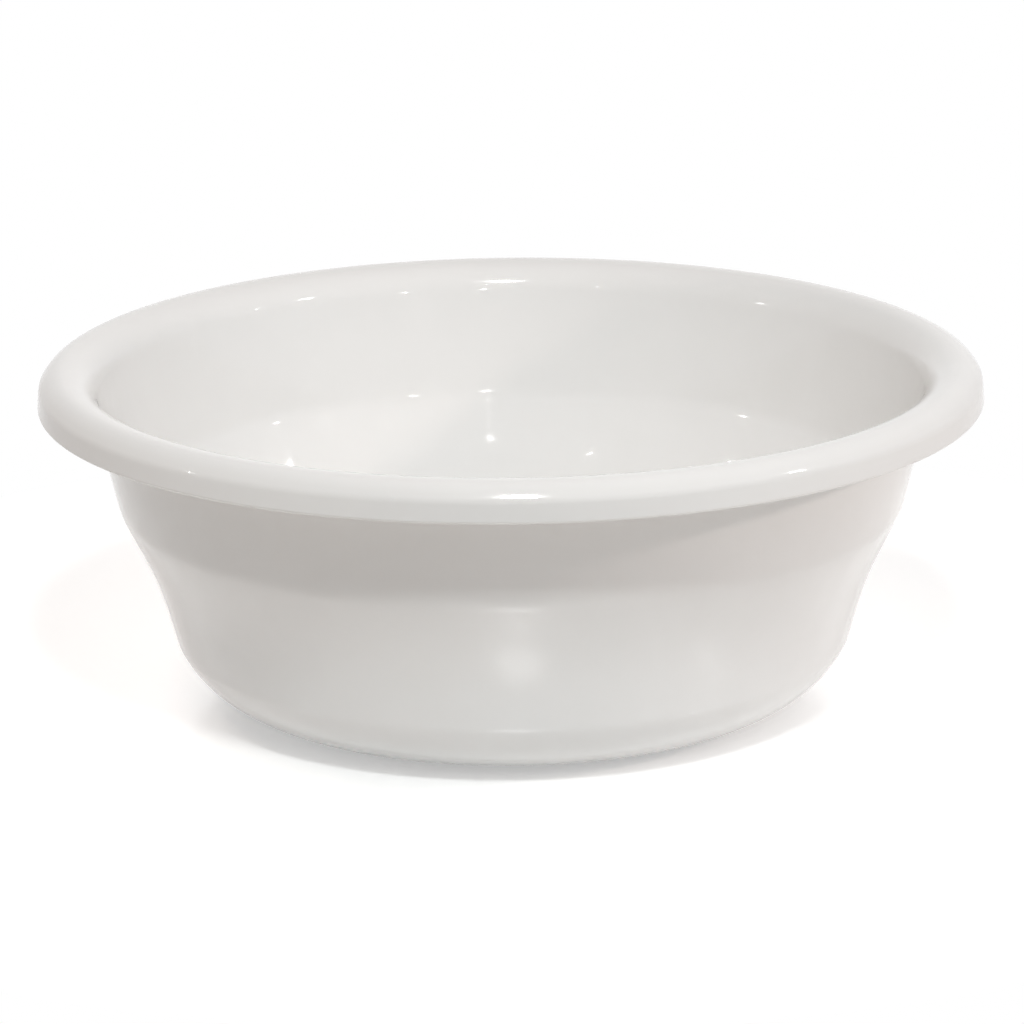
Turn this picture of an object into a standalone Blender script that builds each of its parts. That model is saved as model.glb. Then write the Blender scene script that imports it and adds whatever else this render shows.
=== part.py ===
"""Round plastic wash basin: a thin polypropylene shell with a rolled rim and a bell-shaped wall.

The shell is one path of straight runs and fillets, walked from the foot ring up the outside and over
inside the rolled rim. Everything else follows that path at the wall's thickness.
"""
import math

import bmesh
import bpy
from mathutils import Matrix, Vector

# Driving dimensions, in metres
RIM_DIAMETER = 0.330
HEIGHT = 0.120
WALL = 0.0022

# Foot ring under the floor
FOOT_DIAMETER = 0.168
FOOT_WIDTH = 0.003
FOOT_HEIGHT = 0.0015

# Outside of the wall, as diameters at heights above the table
BELLY_DIAMETER = 0.2376
BELLY_HEIGHT = 0.0226
WAIST_DIAMETER = 0.2506
WAIST_HEIGHT = 0.0466
SHOULDER_DIAMETER = 0.2756
SHOULDER_HEIGHT = 0.0716

# Fillets along the outside of the wall, and the slope at which the heel leaves the floor
HEEL_RADIUS = 0.0362
HEEL_SLOPE = math.radians(61)
BELLY_RADIUS = 0.0136
WAIST_RADIUS = 0.120
SHOULDER_RADIUS = 0.024

# Rolled rim: its width and depth, the height of its roll above the skirt, its fillets on the
# visible side, and the slant of its outer corner
RIM_WIDTH = 0.0192
RIM_DEPTH = 0.0129
ROLL_HEIGHT = 0.0056
ROLL_INNER_RADIUS = 0.0125
ROLL_TOP_RADIUS = 0.0086
ROLL_OUTER_RADIUS = 0.0045
ROLL_SLANT_WIDTH = 0.0030
ROLL_SLANT_DEPTH = 0.0038
SKIRT_DRAFT = 0.0006

# The skirt lies in quarters, by the angle of each one's middle about the axis, in degrees
SKIRT_QUARTERS = {"right": 0, "back": 90, "left": 180, "front": 270}

# Fineness of the turned surfaces
TURN_STEPS = 64
FILLET_STEP = math.radians(13)
EDGE_SEGMENTS = 4
MERGE_DISTANCE = 0.00001

# Plastic: base colour, roughness
WHITE_PLASTIC = (0.86, 0.855, 0.84, 1.0)
PLASTIC_ROUGHNESS = 0.22


def shell_corners():
    """Corners of the shell's outside as (radius, height, fillet), from foot ring to rim edge."""
    heel_run = (BELLY_HEIGHT - FOOT_HEIGHT) / math.tan(HEEL_SLOPE)
    inside_top = HEIGHT - WALL
    inside_edge = RIM_DIAMETER / 2 - WALL
    slant_edge = inside_edge - SKIRT_DRAFT
    return [
        (FOOT_DIAMETER / 2, FOOT_HEIGHT, 0),
        (BELLY_DIAMETER / 2 - heel_run, FOOT_HEIGHT, HEEL_RADIUS),
        (BELLY_DIAMETER / 2, BELLY_HEIGHT, BELLY_RADIUS),
        (WAIST_DIAMETER / 2, WAIST_HEIGHT, WAIST_RADIUS),
        (SHOULDER_DIAMETER / 2, SHOULDER_HEIGHT, SHOULDER_RADIUS),
        (RIM_DIAMETER / 2 - RIM_WIDTH + WALL, inside_top, ROLL_INNER_RADIUS - WALL),
        (slant_edge - ROLL_SLANT_WIDTH, inside_top, ROLL_TOP_RADIUS - WALL),
        (slant_edge, inside_top - ROLL_SLANT_DEPTH, ROLL_OUTER_RADIUS - WALL),
        (inside_edge, HEIGHT - RIM_DEPTH + WALL / 2, 0),
    ]


def fillet_reaches(points, turns, radii):
    """Length that each corner's fillet takes from the runs beside it, never more than a run holds."""
    reaches = [radius * math.tan(abs(turn) / 2) for radius, turn in zip(radii, turns)]
    for index in range(len(points) - 1):
        run = (points[index + 1] - points[index]).length
        asked = reaches[index] + reaches[index + 1]
        if asked > run:
            reaches[index] *= run / asked
            reaches[index + 1] *= run / asked
    return reaches


def rounded_path(corners):
    """Points along the filleted corners, each with its direction of travel."""
    points = [Vector(corner[:2]) for corner in corners]
    headings = [(after - before).normalized() for before, after in zip(points, points[1:])]
    turns = [0] + [a.angle_signed(b) for a, b in zip(headings, headings[1:])] + [0]
    reaches = fillet_reaches(points, turns, [corner[2] for corner in corners])
    path = [(points[0], headings[0])]
    for index in range(1, len(points) - 1):
        turn = turns[index]
        start = points[index] - headings[index - 1] * reaches[index]
        radius = reaches[index] / math.tan(abs(turn) / 2)
        # angle_signed is positive clockwise, and the fillet's centre lies on the side it turns to
        side = math.copysign(1, turn)
        to_centre = Vector((headings[index - 1].y, -headings[index - 1].x)) * side
        centre = start + to_centre * radius
        segments = max(1, math.ceil(abs(turn) / FILLET_STEP))
        for step in range(segments + 1):
            angle = -turn * step / segments
            path.append((centre + rotated(-to_centre, angle) * radius, rotated(headings[index - 1], angle)))
    path.append((points[-1], headings[-1]))
    return path


def rotated(vector, angle):
    """The 2D vector turned by an angle, positive anticlockwise."""
    cosine = math.cos(angle)
    sine = math.sin(angle)
    return Vector((vector.x * cosine - vector.y * sine, vector.x * sine + vector.y * cosine))


def inner_side(path):
    """The other face of the shell: the path moved one wall's thickness to its left."""
    return [point + Vector((-heading.y, heading.x)) * WALL for point, heading in path]


def split_at_height(points, height):
    """Cuts a run of points where it first comes to a height, and gives both parts that point."""
    for index in range(1, len(points)):
        before = points[index - 1]
        after = points[index]
        low = min(before.y, after.y) - MERGE_DISTANCE
        high = max(before.y, after.y) + MERGE_DISTANCE
        # a run that starts at the height leaves it, and is not cut there again
        starts_there = abs(before.y - height) <= MERGE_DISTANCE
        if low <= height <= high and not starts_there:
            share = (height - before.y) / (after.y - before.y)
            cut = Vector((before.x + (after.x - before.x) * share, height))
            ends_there = abs(after.y - height) <= MERGE_DISTANCE
            rest = points[index + 1:] if ends_there else points[index:]
            return points[:index] + [cut], [cut] + rest
    raise ValueError("the shell does not come to this height")


def regions(points):
    """One face of the shell cut into heel, wall, roll and skirt."""
    roll_seam = HEIGHT - ROLL_HEIGHT
    heel, above_heel = split_at_height(points, BELLY_HEIGHT)
    wall, rim = split_at_height(above_heel, roll_seam)
    roll, skirt = split_at_height(rim, roll_seam)
    return heel, wall, roll, skirt


def rounded_edge(outside_end, inside_end):
    """Half-round lower edge of the rim's skirt, from its inner to its outer face."""
    middle = (outside_end + inside_end) / 2
    arm = outside_end - middle
    angles = [math.pi * step / EDGE_SEGMENTS for step in range(1, EDGE_SEGMENTS)]
    return [middle + rotated(arm, angle) for angle in angles]


def plastic(name):
    """Glossy white polypropylene."""
    material = bpy.data.materials.new(name)
    material.use_nodes = True
    shader = material.node_tree.nodes["Principled BSDF"]
    shader.inputs["Base Color"].default_value = WHITE_PLASTIC
    shader.inputs["Roughness"].default_value = PLASTIC_ROUGHNESS
    shader.inputs["Metallic"].default_value = 0.0
    return material


def placed(name, mesh, collection, parent):
    """An object for a body's mesh, in its collection and under the basin."""
    mesh.materials.append(plastic(name + "_plastic"))
    body = bpy.data.objects.new(name, mesh)
    body.parent = parent
    collection.objects.link(body)
    return body


def turned(name, profile, closed, collection, parent):
    """A body turned about the vertical axis from a profile that runs down its outer side."""
    mesh = bpy.data.meshes.new(name)
    vertices = [(point[0], 0, point[1]) for point in profile]
    edges = [(index, index + 1) for index in range(len(profile) - 1)]
    if closed:
        edges.append((len(profile) - 1, 0))
    mesh.from_pydata(vertices, edges, [])
    screw = placed(name, mesh, collection, parent).modifiers.new("turn", "SCREW")
    screw.axis = "Z"
    screw.angle = math.tau
    screw.steps = TURN_STEPS
    screw.render_steps = TURN_STEPS
    screw.use_smooth_shade = True
    screw.use_merge_vertices = True
    screw.merge_threshold = MERGE_DISTANCE


def turned_quarter(name, profile, middle, collection, parent):
    """A quarter of a turned ring, closed at both ends, with its middle at an angle about the axis."""
    shape = bmesh.new()
    outline = [shape.verts.new((point[0], 0, point[1])) for point in profile]
    section = shape.faces.new(outline)
    to_start = Matrix.Rotation(middle - math.pi / 4, 3, "Z")
    bmesh.ops.rotate(shape, verts=outline, cent=(0, 0, 0), matrix=to_start)
    bmesh.ops.spin(shape, geom=[section], cent=(0, 0, 0), axis=(0, 0, 1), angle=math.pi / 2,
                   steps=TURN_STEPS // 4)
    bmesh.ops.recalc_face_normals(shape, faces=shape.faces[:])
    mesh = bpy.data.meshes.new(name)
    shape.to_mesh(mesh)
    shape.free()
    mesh.shade_smooth()
    placed(name, mesh, collection, parent)


def skirt_profile(outside, inside):
    """Closed section of the hanging skirt, down its visible face and round its lower edge."""
    return inside + list(reversed(rounded_edge(outside[-1], inside[-1]))) + list(reversed(outside))


def foot_ring_profile():
    """Square-edged ring that the basin stands on."""
    outer = FOOT_DIAMETER / 2
    inner = outer - FOOT_WIDTH
    return [(outer, FOOT_HEIGHT), (outer, 0), (inner, 0), (inner, FOOT_HEIGHT)]


def floor_profile():
    """Flat floor inside the heel, from the axis out along its top and back along its underside."""
    edge = FOOT_DIAMETER / 2
    top = FOOT_HEIGHT + WALL
    return [(0, top), (edge, top), (edge, FOOT_HEIGHT), (0, FOOT_HEIGHT)]


def build():
    for old in list(bpy.data.objects):
        bpy.data.objects.remove(old)
    collection = bpy.data.collections.new("plastic_basin")
    bpy.context.scene.collection.children.link(collection)
    basin = bpy.data.objects.new("basin", None)
    collection.objects.link(basin)

    path = rounded_path(shell_corners())
    heel_out, wall_out, roll_under, skirt_under = regions([point for point, heading in path])
    heel_in, wall_in, roll_top, skirt_face = regions(inner_side(path))

    turned("floor", floor_profile(), False, collection, basin)
    turned("foot_ring", foot_ring_profile(), True, collection, basin)
    turned("heel", list(reversed(heel_out)) + heel_in, True, collection, basin)
    turned("bell_wall", list(reversed(wall_out)) + wall_in, True, collection, basin)
    turned("rim_roll", roll_top + list(reversed(roll_under)), True, collection, basin)
    for side, degrees in SKIRT_QUARTERS.items():
        profile = skirt_profile(skirt_under, skirt_face)
        turned_quarter("rim_skirt_" + side, profile, math.radians(degrees), collection, basin)


build()
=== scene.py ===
"""Looks of a round white plastic wash basin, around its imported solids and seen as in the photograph."""
import math

import bmesh
import bpy
from mathutils import Matrix, Vector

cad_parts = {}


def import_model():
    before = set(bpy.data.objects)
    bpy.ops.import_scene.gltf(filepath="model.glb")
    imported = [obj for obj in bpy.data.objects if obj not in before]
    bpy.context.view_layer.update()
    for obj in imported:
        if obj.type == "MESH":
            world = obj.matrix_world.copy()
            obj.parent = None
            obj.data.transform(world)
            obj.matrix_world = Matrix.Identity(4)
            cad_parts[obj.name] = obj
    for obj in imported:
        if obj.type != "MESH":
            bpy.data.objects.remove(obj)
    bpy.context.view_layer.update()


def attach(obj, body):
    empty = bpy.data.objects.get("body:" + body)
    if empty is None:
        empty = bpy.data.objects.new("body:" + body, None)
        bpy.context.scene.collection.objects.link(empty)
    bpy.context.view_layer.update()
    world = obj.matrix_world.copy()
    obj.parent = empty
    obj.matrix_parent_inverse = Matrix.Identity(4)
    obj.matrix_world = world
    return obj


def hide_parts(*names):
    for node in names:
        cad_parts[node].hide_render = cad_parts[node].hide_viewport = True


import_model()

# The basin, in metres, with the sizes of its solids
RIM_DIAMETER = 0.330
HEIGHT = 0.120
WALL = 0.0022
FOOT_DIAMETER = 0.168
FOOT_WIDTH = 0.003
FOOT_HEIGHT = 0.0015
BELLY_DIAMETER = 0.2376
BELLY_HEIGHT = 0.0226
WAIST_DIAMETER = 0.2506
WAIST_HEIGHT = 0.0466
SHOULDER_DIAMETER = 0.2756
SHOULDER_HEIGHT = 0.0716
HEEL_RADIUS = 0.0362
HEEL_SLOPE = math.radians(61)
BELLY_RADIUS = 0.0136
WAIST_RADIUS = 0.120
SHOULDER_RADIUS = 0.024
RIM_WIDTH = 0.0192
RIM_DEPTH = 0.0129
ROLL_INNER_RADIUS = 0.0125
ROLL_TOP_RADIUS = 0.0086
ROLL_OUTER_RADIUS = 0.0045
ROLL_SLANT_WIDTH = 0.0030
ROLL_SLANT_DEPTH = 0.0038
SKIRT_DRAFT = 0.0006

# Small moulding marks under the floor: softened foot edges, and the gate in its shallow well
FOOT_EDGE = 0.0005
FOOT_ROOT = 0.0004
GATE_WELL_RADIUS = 0.009
GATE_WELL_TOP_RADIUS = 0.0054
GATE_WELL_DEPTH = 0.0005
GATE_RADIUS = 0.0016
GATE_HEIGHT = 0.0004
GATE_EDGE = 0.0003

# Plastic: the ends of its faint clouds, the worn foot, and how strongly it mirrors
PLASTIC_DEEP = (0.852, 0.847, 0.832, 1.0)
PLASTIC_PALE = (0.870, 0.865, 0.851, 1.0)
PLASTIC_WORN = (0.780, 0.772, 0.752, 1.0)
PLASTIC_IOR = 1.58
WORN_HEIGHT = 0.0006

# Patterns in the plastic: how close they lie, their detail, and for some how rough that detail is
CLOUDS = (9.0, 3.0)
MOTTLE = (60.0, 2.0)
FLOW_LINES = (6.0, 4.0)
ORANGE_PEEL = (220.0, 2.0)
WIPING_MARKS = (900.0, 3.0, 0.7)
WEAR = (150.0, 3.0)
WEAR_RANGE = (0.35, 0.65)

# Share of each pattern in the colour, and the range of their sum that goes from deep to pale
CLOUD_SHARE = 0.5
MOTTLE_SHARE = 0.25
FLOW_SHARE = 0.25
COLOUR_RANGE = (0.38, 0.62)

# Roughness of the clean plastic, and what each pattern adds to it
CLEAN_ROUGHNESS = 0.045
WIPING_ROUGHNESS = 0.03
CLOUD_ROUGHNESS = 0.02
FLOW_ROUGHNESS = 0.01
WORN_ROUGHNESS = 0.35

# Orange-peel skin: how strongly it shows, and its depth
SKIN_STRENGTH = 0.05
SKIN_DEPTH = 0.0004

# Fineness of the turned shell
TURN_STEPS = 240
BEND_STEP = math.radians(4)
FEWEST_BEND_STEPS = 2
MERGE_DISTANCE = 1e-6
# The rim's edge is just short of half round, so that its two fillets do not meet
EDGE_ROUNDNESS = 0.999

# Camera: where it stands, how far it looks down, and its lens for the photograph's frame
CAMERA_PLACE = (0.0, -1.6927, 0.5480)
CAMERA_TILT = math.radians(15.94)
CAMERA_ROLL = math.radians(0.6)
CAMERA_LENS = 175.8
SENSOR_WIDTH = 36.0

# Lamps round the basin: angles to the right of the camera and above the table in degrees, distance and width
# in metres, power in watts, and colour. The soft ones light the basin and do not show in its gloss. The
# bright ones only show there.
LAMP_TARGET = Vector((0.0, 0.0, 0.07))
LAMP_WHITE = (1.00, 1.00, 1.00)
SOFT_LAMPS = {
    "ceiling": (3.5, 48.8, 1.8, 0.24, 15.6, (0.91, 0.96, 0.97)),
    "right_lamp": (80, 21, 1.5, 0.12, 4.7, (1.00, 0.87, 0.81)),
    "window": (75, 30, 1.4, 1.40, 3.9, (0.91, 0.92, 0.97)),
    "room_left": (-75, 60, 1.8, 0.40, 8.3, (1.00, 0.86, 0.80)),
    "room_back": (180, 13, 1.8, 0.70, 11.0, (1.00, 0.98, 0.96)),
}
BRIGHT_LAMPS = {
    "bulb": (2.2, 52, 1.026, 0.11, 6.5, LAMP_WHITE),
    "bulb_right": (72.5, 37, 0.744, 0.045, 0.22, LAMP_WHITE),
    "spot_front": (8, 20, 1.8, 0.025, 0.50, LAMP_WHITE),
    "spot_front_high": (8, 37, 1.8, 0.016, 0.10, LAMP_WHITE),
    "spot_front_right": (32, 20.5, 1.8, 0.025, 0.60, LAMP_WHITE),
    "spot_front_left": (-29, 32, 1.8, 0.014, 0.12, LAMP_WHITE),
    "spot_right": (83, 25, 1.8, 0.019, 0.24, LAMP_WHITE),
    "spot_left": (-82, 24, 1.8, 0.025, 0.40, LAMP_WHITE),
}

# Plain colours
WHITE = (1.0, 1.0, 1.0, 1.0)
BLACK = (0.0, 0.0, 0.0, 1.0)

# Floor: a round pale table top that keeps the basin's shadow, and round it a wide floor that only gives the
# dim light of a room. For the camera and in gloss both fade into white.
FLOOR_RADIUS = 3.0
FLOOR_SEGMENTS = 96
TABLE_RADIUS = 0.36
TABLE_EDGE = 0.01
TABLE_COLOUR = (0.91, 0.90, 0.89, 1.0)
TABLE_ROUGHNESS = 0.20
TABLE_IOR = 1.8
TABLE_LIFT = (0.40, 0.40, 0.40, 1.0)
ROOM_ABOVE = (0.075, 0.075, 0.075, 1.0)
ROOM_GLOW = (0.240, 0.180, 0.135, 1.0)
FADE_START = 0.24
FADE_END = 0.33


class Value:
    """A number, vector or shader in a graph. Arithmetic on it adds Math nodes."""

    def __init__(self, graph, socket):
        self.graph = graph
        self.socket = socket

    def join(self, operation, first, second):
        return self.graph.node("ShaderNodeMath", {"operation": operation}, {0: first, 1: second}).value()

    def __add__(self, other):
        return self.join("ADD", self, other)

    def __radd__(self, other):
        return self.join("ADD", other, self)

    def __mul__(self, other):
        return self.join("MULTIPLY", self, other)

    def __rmul__(self, other):
        return self.join("MULTIPLY", other, self)


class Made:
    """A node that was added to a graph."""

    def __init__(self, graph, node):
        self.graph = graph
        self.node = node

    def value(self, name=0):
        return Value(self.graph, self.node.outputs[name])


class Graph:
    """A tree of shader nodes, and one way to add any node to it."""

    def __init__(self, tree):
        self.tree = tree

    def feed(self, socket, source):
        if isinstance(source, Value):
            self.tree.links.new(source.socket, socket)
        else:
            socket.default_value = source

    def node(self, kind, settings=None, inputs=None):
        made = self.tree.nodes.new(kind)
        for name, setting in (settings or {}).items():
            setattr(made, name, setting)
        for name, source in (inputs or {}).items():
            self.feed(made.inputs[name], source)
        return Made(self, made)

    def ranged(self, source, low, high):
        """0 where the source is at or before the low end, 1 at or past the high end."""
        return self.node("ShaderNodeMapRange", {"clamp": True}, {0: source, 1: low, 2: high}).value()

    def mixed(self, share, first, second):
        """A colour between two. A Mix node has its colours at sockets 6 and 7, and gives one at output 2."""
        return self.node("ShaderNodeMix", {"data_type": "RGBA"}, {0: share, 6: first, 7: second}).value(2)

    def show(self, result):
        ends = [node for node in self.tree.nodes if node.type.startswith("OUTPUT")]
        self.feed(ends[0].inputs["Surface"], result)


class Surface(Graph):
    """A material with a Principled shader, and patterns placed by the object's own coordinates."""

    def __init__(self, name):
        self.material = bpy.data.materials.new(name)
        self.material.use_nodes = True
        super().__init__(self.material.node_tree)
        self.shader = self.tree.nodes["Principled BSDF"]
        self.shine = Value(self, self.shader.outputs[0])
        self.place = self.node("ShaderNodeTexCoord").value("Object")

    def noise(self, scale, detail, roughness=0.5, place=None):
        inputs = {"Vector": place or self.place, "Scale": scale, "Detail": detail, "Roughness": roughness}
        return self.node("ShaderNodeTexNoise", {}, inputs).value()

    def spokes(self):
        """Direction from the upright axis, which stays the same along lines that run out from it."""
        flattened = {0: self.place, 1: (1.0, 1.0, 0.0)}
        level = self.node("ShaderNodeVectorMath", {"operation": "MULTIPLY"}, flattened).value("Vector")
        return self.node("ShaderNodeVectorMath", {"operation": "NORMALIZE"}, {0: level}).value("Vector")


def white_plastic():
    """Glossy white polypropylene: faint clouds, an orange-peel skin, wiping marks and a worn foot."""
    plastic = Surface("white_plastic")
    shader = plastic.shader
    clouds = plastic.noise(*CLOUDS)
    mottle = plastic.noise(*MOTTLE)
    flow = plastic.noise(*FLOW_LINES, place=plastic.spokes())
    skin = plastic.noise(*ORANGE_PEEL)
    wiping = plastic.noise(*WIPING_MARKS)
    height = plastic.node("ShaderNodeSeparateXYZ", {}, {0: plastic.place}).value("Z")
    worn = plastic.ranged(height, WORN_HEIGHT, 0.0) * plastic.ranged(plastic.noise(*WEAR), *WEAR_RANGE)
    tint = CLOUD_SHARE * clouds + MOTTLE_SHARE * mottle + FLOW_SHARE * flow
    clean = plastic.mixed(plastic.ranged(tint, *COLOUR_RANGE), PLASTIC_DEEP, PLASTIC_PALE)
    plastic.feed(shader.inputs["Base Color"], plastic.mixed(worn, clean, PLASTIC_WORN))
    marks = WIPING_ROUGHNESS * wiping + CLOUD_ROUGHNESS * clouds + FLOW_ROUGHNESS * flow
    plastic.feed(shader.inputs["Roughness"], CLEAN_ROUGHNESS + marks + WORN_ROUGHNESS * worn)
    bump_inputs = {"Strength": SKIN_STRENGTH, "Distance": SKIN_DEPTH, "Height": skin}
    plastic.feed(shader.inputs["Normal"], plastic.node("ShaderNodeBump", {}, bump_inputs).value())
    shader.inputs["IOR"].default_value = PLASTIC_IOR
    return plastic.material


class SectionPen:
    """Draws a turned section in the plane y = 0, with straight runs and round bends."""

    def __init__(self, mesh, start):
        self.mesh = mesh
        self.tip = mesh.verts.new((start.x, 0, start.y))

    def run_to(self, point):
        place = Vector((point.x, 0, point.y))
        if (place - self.tip.co).length > MERGE_DISTANCE:
            self.tip = bmesh.ops.extrude_vert_indiv(self.mesh, verts=[self.tip])["verts"][0]
            self.tip.co = place

    def bend(self, centre, turn):
        steps = max(FEWEST_BEND_STEPS, math.ceil(abs(turn) / BEND_STEP))
        swept = bmesh.ops.spin(self.mesh, geom=[self.tip], cent=(centre.x, 0, centre.y), axis=(0, 1, 0),
                               angle=turn, steps=steps)
        self.tip = next(part for part in swept["geom_last"] if isinstance(part, bmesh.types.BMVert))


def turns_along(points):
    """Direction of each run, and the clockwise turn at each corner."""
    headings = [(after - before).normalized() for before, after in zip(points, points[1:])]
    turns = [0] + [a.angle_signed(b) for a, b in zip(headings, headings[1:])] + [0]
    return headings, turns


def draw_rounded(mesh, corners):
    """Draws a section through corners given as (radius, height, fillet)."""
    points = [Vector(corner[:2]) for corner in corners]
    headings, turns = turns_along(points)
    pen = SectionPen(mesh, points[0])
    for index in range(1, len(points) - 1):
        turn = turns[index]
        fillet = corners[index][2]
        start = points[index] - headings[index - 1] * fillet * math.tan(abs(turn) / 2)
        pen.run_to(start)
        if fillet:
            side = Vector((headings[index - 1].y, -headings[index - 1].x)) * math.copysign(1, turn)
            pen.bend(start + side * fillet, turn)
    pen.run_to(points[-1])


def fitted_fillets(corners):
    """The corners, with fillets cut down where two of them meet on a short run."""
    points = [Vector(corner[:2]) for corner in corners]
    turns = turns_along(points)[1]
    bends = [math.tan(abs(turn) / 2) for turn in turns]
    reaches = [corner[2] * bend for corner, bend in zip(corners, bends)]
    for index in range(len(points) - 1):
        run = (points[index + 1] - points[index]).length
        asked = reaches[index] + reaches[index + 1]
        if asked > run:
            reaches[index] *= run / asked
            reaches[index + 1] *= run / asked
    fillets = [reach / bend if bend else 0 for reach, bend in zip(reaches, bends)]
    return [(point.x, point.y, fillet) for point, fillet in zip(points, fillets)]


def offset_corners(corners, distance):
    """The corners moved to the left of their path, with fillets that keep the wall even."""
    points = [Vector(corner[:2]) for corner in corners]
    headings, turns = turns_along(points)
    moved = []
    for index, point in enumerate(points):
        heading = headings[max(index - 1, 0)]
        left = Vector((-heading.y, heading.x))
        along = heading * math.tan(turns[index] / 2)
        fillet = corners[index][2]
        if fillet:
            fillet += math.copysign(distance, turns[index])
        place = point + (left + along) * distance
        moved.append((place.x, place.y, fillet))
    return moved


def shell_corners():
    """Outside of the shell from under the floor's middle to the lower edge of the rolled rim."""
    heel_run = (BELLY_HEIGHT - FOOT_HEIGHT) / math.tan(HEEL_SLOPE)
    inside_top = HEIGHT - WALL
    inside_edge = RIM_DIAMETER / 2 - WALL
    slant_edge = inside_edge - SKIRT_DRAFT
    return [
        (0, FOOT_HEIGHT, 0),
        (BELLY_DIAMETER / 2 - heel_run, FOOT_HEIGHT, HEEL_RADIUS),
        (BELLY_DIAMETER / 2, BELLY_HEIGHT, BELLY_RADIUS),
        (WAIST_DIAMETER / 2, WAIST_HEIGHT, WAIST_RADIUS),
        (SHOULDER_DIAMETER / 2, SHOULDER_HEIGHT, SHOULDER_RADIUS),
        (RIM_DIAMETER / 2 - RIM_WIDTH + WALL, inside_top, ROLL_INNER_RADIUS - WALL),
        (slant_edge - ROLL_SLANT_WIDTH, inside_top, ROLL_TOP_RADIUS - WALL),
        (slant_edge, inside_top - ROLL_SLANT_DEPTH, ROLL_OUTER_RADIUS - WALL),
        (inside_edge, HEIGHT - RIM_DEPTH, 0),
    ]


def underside_corners():
    """Foot ring and gate mark, from the foot ring's outer root in to the axis."""
    outer = FOOT_DIAMETER / 2
    inner = outer - FOOT_WIDTH
    well_top = FOOT_HEIGHT + GATE_WELL_DEPTH
    gate_end = well_top - GATE_HEIGHT
    return [
        (outer, FOOT_HEIGHT, FOOT_ROOT),
        (outer, 0, FOOT_EDGE),
        (inner, 0, FOOT_EDGE),
        (inner, FOOT_HEIGHT, FOOT_ROOT),
        (GATE_WELL_RADIUS, FOOT_HEIGHT, 0),
        (GATE_WELL_TOP_RADIUS, well_top, 0),
        (GATE_RADIUS, well_top, 0),
        (GATE_RADIUS, gate_end, GATE_EDGE),
        (0, gate_end, 0),
    ]


def rounded_end(corner):
    """The rim's lower edge is half round: each of its corners gets half the wall as fillet."""
    return corner[0], corner[1], WALL / 2 * EDGE_ROUNDNESS


def basin_section():
    """The whole closed section, from the middle of the floor over the rim and back under the floor."""
    outside = fitted_fillets(shell_corners())
    inside = offset_corners(outside, WALL)
    outside[-1] = rounded_end(outside[-1])
    inside[-1] = rounded_end(inside[-1])
    return inside + list(reversed(outside[1:])) + underside_corners()


def basin_shell():
    """The basin as one moulding, turned from its section."""
    shape = bmesh.new()
    draw_rounded(shape, basin_section())
    bmesh.ops.spin(shape, geom=shape.verts[:] + shape.edges[:], cent=(0, 0, 0), axis=(0, 0, 1),
                   angle=math.tau, steps=TURN_STEPS, use_merge=True)
    bmesh.ops.remove_doubles(shape, verts=shape.verts[:], dist=MERGE_DISTANCE)
    bmesh.ops.recalc_face_normals(shape, faces=shape.faces[:])
    for face in shape.faces:
        face.smooth = True
    mesh = bpy.data.meshes.new("basin_shell")
    shape.to_mesh(mesh)
    shape.free()
    shell = bpy.data.objects.new("basin_shell", mesh)
    bpy.context.scene.collection.objects.link(shell)
    mesh.materials.append(white_plastic())
    return shell


def shown_rays(graph):
    """1 for rays that see the white round the basin: from the camera, in gloss or through clear things."""
    path = graph.node("ShaderNodeLightPath")
    shown = path.value("Is Camera Ray") + path.value("Is Glossy Ray") + path.value("Is Transmission Ray")
    return graph.ranged(shown, 0.0, 1.0)


def floor_material():
    """Pale top that takes the shadow. What shows of it is lifted to white and fades into white."""
    pale = Surface("pale_floor")
    shader = pale.shader
    shown = shown_rays(pale)
    reach = pale.node("ShaderNodeVectorMath", {"operation": "LENGTH"}, {0: pale.place}).value("Value")
    beyond = pale.ranged(reach, TABLE_RADIUS, TABLE_RADIUS + TABLE_EDGE)
    pale.feed(shader.inputs["Base Color"], pale.mixed(beyond, TABLE_COLOUR, BLACK))
    unseen_glow = pale.mixed(beyond, BLACK, ROOM_GLOW)
    pale.feed(shader.inputs["Emission Color"], pale.mixed(shown, unseen_glow, TABLE_LIFT))
    shader.inputs["Emission Strength"].default_value = 1.0
    shader.inputs["Roughness"].default_value = TABLE_ROUGHNESS
    shader.inputs["IOR"].default_value = TABLE_IOR
    fade = pale.ranged(reach, FADE_START, FADE_END) * shown
    white = pale.node("ShaderNodeEmission", {}, {"Color": WHITE}).value()
    pale.show(pale.node("ShaderNodeMixShader", {}, {0: fade, 1: pale.shine, 2: white}).value())
    return pale.material


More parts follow.
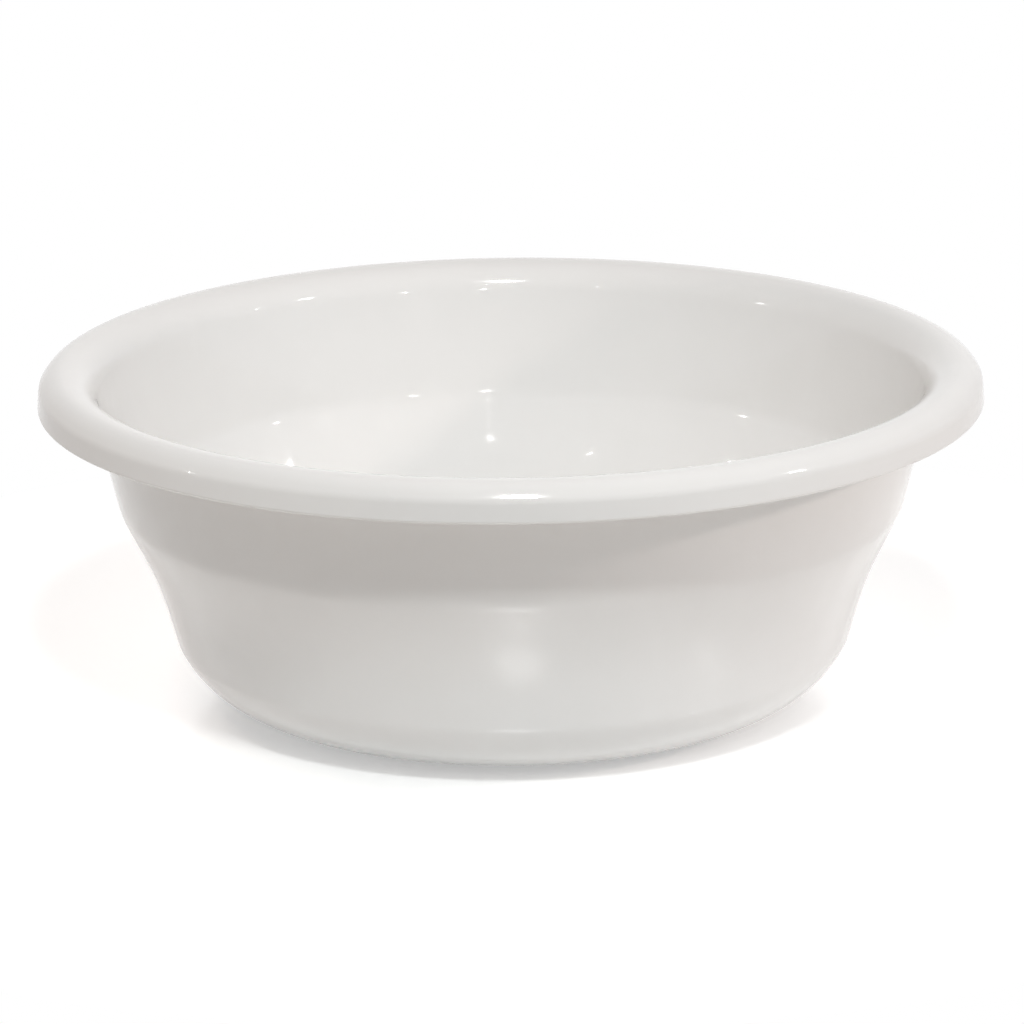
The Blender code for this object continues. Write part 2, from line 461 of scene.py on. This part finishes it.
def floor():
    """Round level floor under the basin."""
    shape = bmesh.new()
    bmesh.ops.create_circle(shape, cap_ends=True, segments=FLOOR_SEGMENTS, radius=FLOOR_RADIUS)
    mesh = bpy.data.meshes.new("pale_floor")
    shape.to_mesh(mesh)
    shape.free()
    level = bpy.data.objects.new("pale_floor", mesh)
    mesh.materials.append(floor_material())
    bpy.context.scene.collection.objects.link(level)
    return level


def lamp(name, azimuth, elevation, distance, width, power, colour):
    """A round lamp that faces the basin."""
    light = bpy.data.lights.new(name, "AREA")
    light.shape = "DISK"
    light.size = width
    light.energy = power
    light.color = colour
    turn = math.radians(azimuth)
    rise = math.radians(elevation)
    away = Vector((math.sin(turn) * math.cos(rise), -math.cos(turn) * math.cos(rise), math.sin(rise)))
    holder = bpy.data.objects.new(name, light)
    holder.location = LAMP_TARGET + away * distance
    holder.rotation_euler = away.to_track_quat("Z", "Y").to_euler()
    holder.visible_camera = False
    bpy.context.scene.collection.objects.link(holder)
    return holder


def lamps():
    """The soft lamps, out of the gloss, and the bright ones, in the gloss alone."""
    for name, setting in SOFT_LAMPS.items():
        lamp(name, *setting).visible_glossy = False
    for name, setting in BRIGHT_LAMPS.items():
        lamp(name, *setting).visible_diffuse = False


def world():
    """White where it shows, and a dim room above for the rest of the light."""
    surroundings = bpy.data.worlds.new("studio")
    surroundings.use_nodes = True
    graph = Graph(surroundings.node_tree)
    colour = graph.mixed(shown_rays(graph), ROOM_ABOVE, WHITE)
    graph.show(graph.node("ShaderNodeBackground", {}, {"Color": colour}).value())
    bpy.context.scene.world = surroundings


def camera():
    """The photograph's view."""
    lens = bpy.data.cameras.new("camera")
    lens.lens = CAMERA_LENS
    lens.sensor_width = SENSOR_WIDTH
    holder = bpy.data.objects.new("camera", lens)
    tilt = Matrix.Rotation(math.pi / 2 - CAMERA_TILT, 4, "X")
    roll = Matrix.Rotation(-CAMERA_ROLL, 4, "Z")
    holder.matrix_world = Matrix.Translation(CAMERA_PLACE) @ tilt @ roll
    bpy.context.scene.collection.objects.link(holder)
    bpy.context.scene.camera = holder


camera()
world()
lamps()
floor()
basin = basin_shell()
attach(basin, "root")
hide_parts("floor", "foot_ring", "heel", "bell_wall", "rim_roll",
            "rim_skirt_front", "rim_skirt_right", "rim_skirt_back", "rim_skirt_left")
bpy.context.scene.view_settings.view_transform = "Standard"
